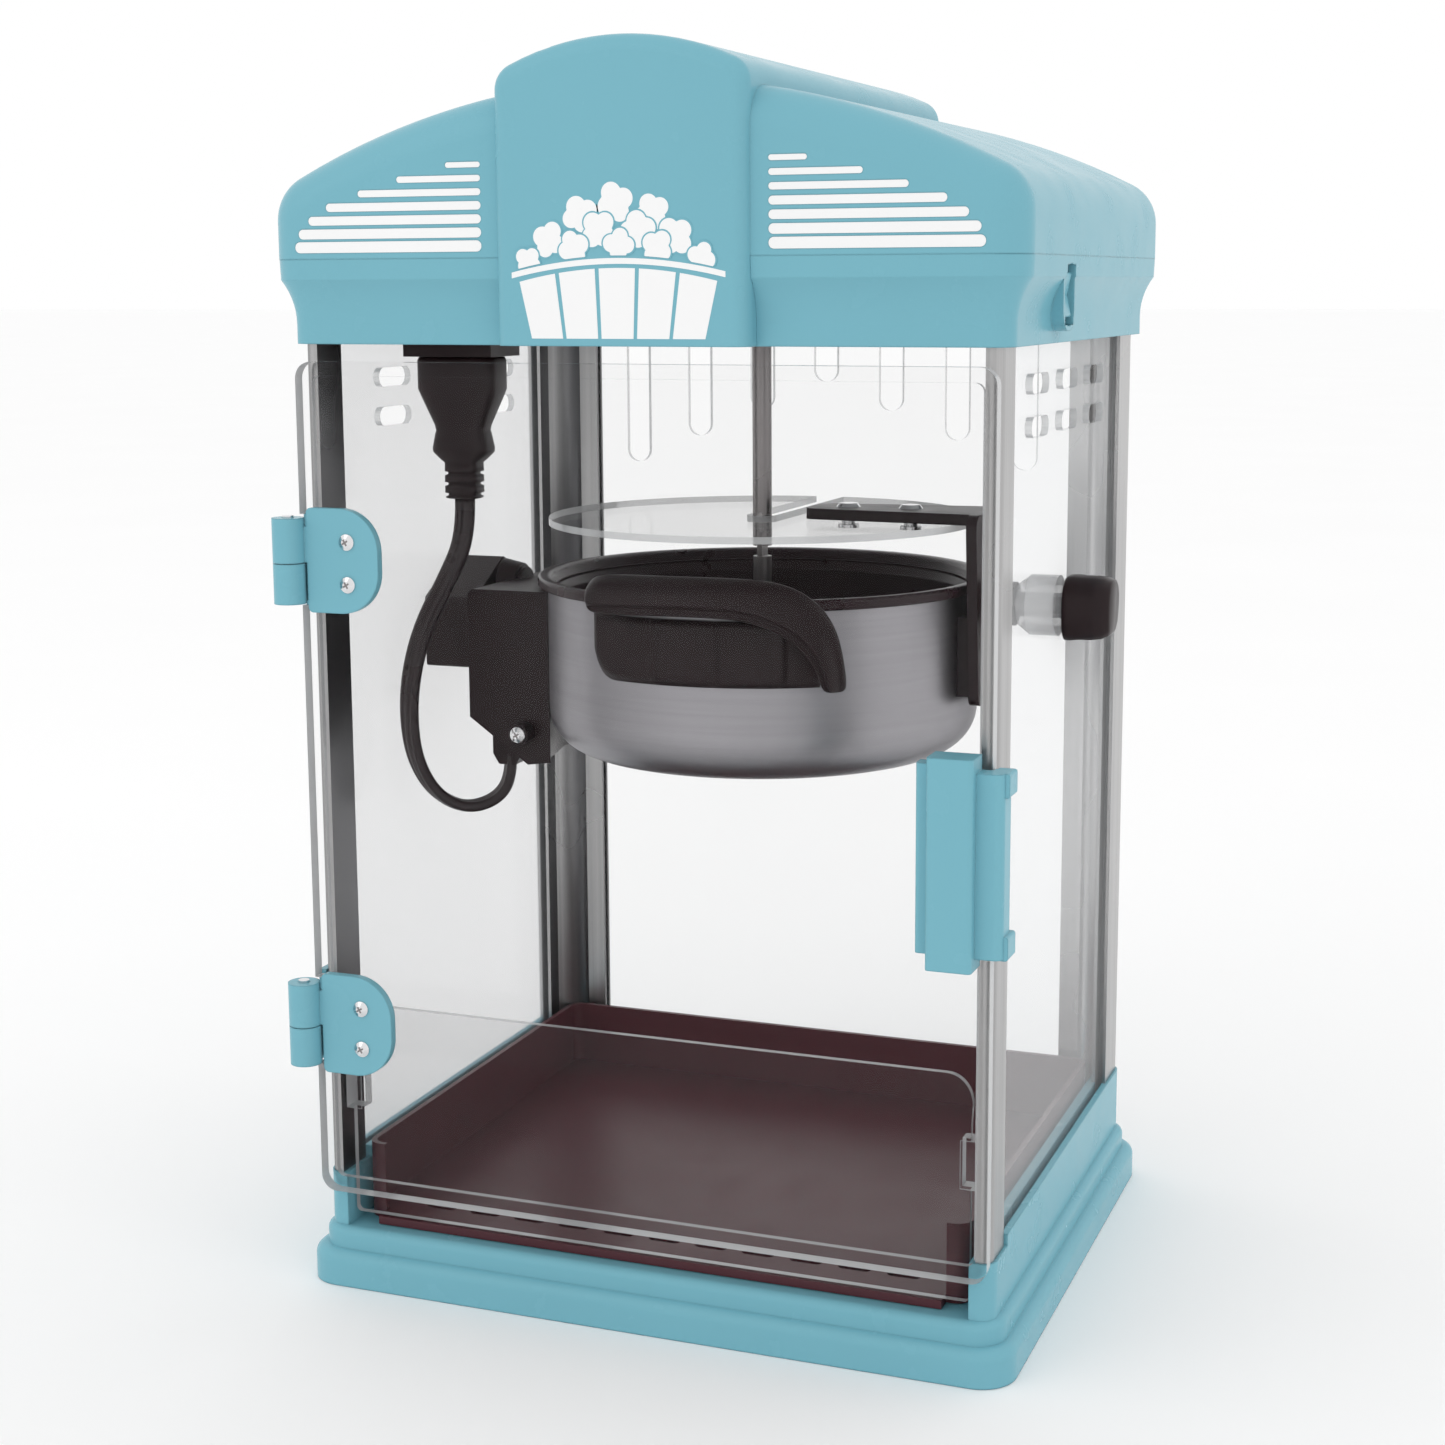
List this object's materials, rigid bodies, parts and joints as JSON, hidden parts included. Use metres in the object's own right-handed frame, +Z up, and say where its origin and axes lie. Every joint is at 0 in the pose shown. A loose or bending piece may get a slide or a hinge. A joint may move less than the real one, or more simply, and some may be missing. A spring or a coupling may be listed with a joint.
{
  "type": "popcorn maker",
  "caption": "Tabletop theatre-style popcorn maker: clear four-post cabinet, domed hood with drive, tilting kettle, hinged front door, tray and guard.",
  "frame": {"origin": "centre of the base's underside, on the surface that the object stands on", "axes": "+Z up, +X to the object's right seen from its front, +Y to its back; the door faces -Y"},
  "size_m": [0.277, 0.2308, 0.445],
  "materials": {
    "blue_plastic": "glossy moulded light blue ABS",
    "dark_plastic": "dark brown-black phenolic, satin",
    "clear_acrylic": "clear moulded acrylic",
    "post_metal": "anodised aluminium extrusion",
    "kettle_metal": "satin spun aluminium",
    "non_stick": "dark non-stick coating",
    "chrome": "bright plated steel",
    "rod_steel": "brushed stainless steel",
    "tray_plastic": "dark maroon moulded plastic",
    "white_inlay": "white moulded inlay",
    "sheet_steel": "light grey painted sheet steel",
    "pad_rubber": "black rubber",
    "lead_rubber": "dark silicone rubber lead",
    "gear_nylon": "natural nylon"
  },
  "bodies": {
    "cabinet": {"base_shell": "blue_plastic", "base_plate": "sheet_steel", "base_pads": "pad_rubber", "base_screws": "chrome", "tray": "tray_plastic", "front_post_left": "post_metal", "front_post_right": "post_metal", "rear_post_left": "post_metal", "rear_post_right": "post_metal", "side_panel_left": "clear_acrylic", "side_panel_right": "clear_acrylic", "back_panel": "clear_acrylic", "hood_skirt": "blue_plastic", "hood_floor": "sheet_steel", "hood_lid": "blue_plastic", "louver_inlays": "white_inlay", "hood_screws": "chrome", "mains_gland": "dark_plastic", "kettle_outlet": "dark_plastic", "switch_body": "dark_plastic", "motor_body": "sheet_steel", "motor_bracket": "sheet_steel", "rod_bush": "gear_nylon", "upper_hinge_bracket": "blue_plastic", "lower_hinge_bracket": "blue_plastic", "hinge_pins": "chrome", "bracket_screws": "chrome", "hanger_bracket": "dark_plastic", "knob_bush": "clear_acrylic", "lead_plug": "dark_plastic"},
    "door": {"door_panel": "clear_acrylic", "upper_hinge_leaf": "blue_plastic", "lower_hinge_leaf": "blue_plastic", "leaf_nuts": "chrome", "door_screws": "chrome", "door_handle": "blue_plastic"},
    "guard": {"front_guard": "clear_acrylic"},
    "kettle": {"kettle_shell": "kettle_metal", "kettle_liner": "non_stick", "heater_ring": "rod_steel", "thermostat": "dark_plastic", "stirrer_bush": "rod_steel", "kettle_cover": "clear_acrylic", "kettle_bracket": "dark_plastic", "kettle_bolts": "chrome", "cover_rivets": "chrome", "grip_plate": "dark_plastic", "grip_band": "dark_plastic", "connector_housing": "dark_plastic", "housing_screw": "chrome", "strain_relief": "dark_plastic", "kettle_lead": "lead_rubber"},
    "stirrer": {"stirrer_shaft": "rod_steel", "stirrer_arms": "rod_steel"},
    "drive": {"drive_rod": "rod_steel", "drive_gear": "gear_nylon"},
    "pinion": {"motor_pinion": "rod_steel"},
    "rocker": {"switch_rocker": "blue_plastic"},
    "knob": {"knob_shaft": "rod_steel", "knob_grip": "dark_plastic"}
  },
  "joints": [
    {"name": "door_hinge", "type": "hinge", "parent": "cabinet", "child": "door", "pos_m": [-0.1285, -0.112, 0.1875], "axis": [0, 0, 1], "range_deg": [-110, 0]},
    {"name": "guard_lift", "type": "slide", "parent": "cabinet", "child": "guard", "axis": [0, 0, 1], "range_m": [0, 0.06]},
    {"name": "kettle_tilt", "type": "hinge", "parent": "cabinet", "child": "kettle", "pos_m": [0.008, 0, 0.25], "axis": [1, 0, 0], "range_deg": [0, 75], "deforming": ["kettle_lead"]},
    {"name": "drive_spin", "type": "hinge", "parent": "cabinet", "child": "drive", "pos_m": [0.008, 0, 0.36], "axis": [0, 0, 1], "continuous": true},
    {"name": "pinion_spin", "type": "hinge", "parent": "cabinet", "child": "pinion", "pos_m": [0.008, 0.03785, 0.36], "axis": [0, 0, 1], "continuous": true},
    {"name": "stirrer_spin", "type": "hinge", "parent": "kettle", "child": "stirrer", "pos_m": [0.008, 0, 0.24], "axis": [0, 0, 1], "continuous": true},
    {"name": "rocker_tip", "type": "hinge", "parent": "cabinet", "child": "rocker", "pos_m": [0.1235, -0.045, 0.361], "axis": [0, 1, 0], "range_deg": [-9, 9]},
    {"name": "knob_pull", "type": "slide", "parent": "kettle", "child": "knob", "axis": [1, 0, 0], "range_m": [0, 0.009]}
  ],
  "couplings": [
    {"joint": "pinion_spin", "follows": "drive_spin", "ratio": -4},
    {"joint": "stirrer_spin", "follows": "drive_spin", "ratio": 1}
  ]
}
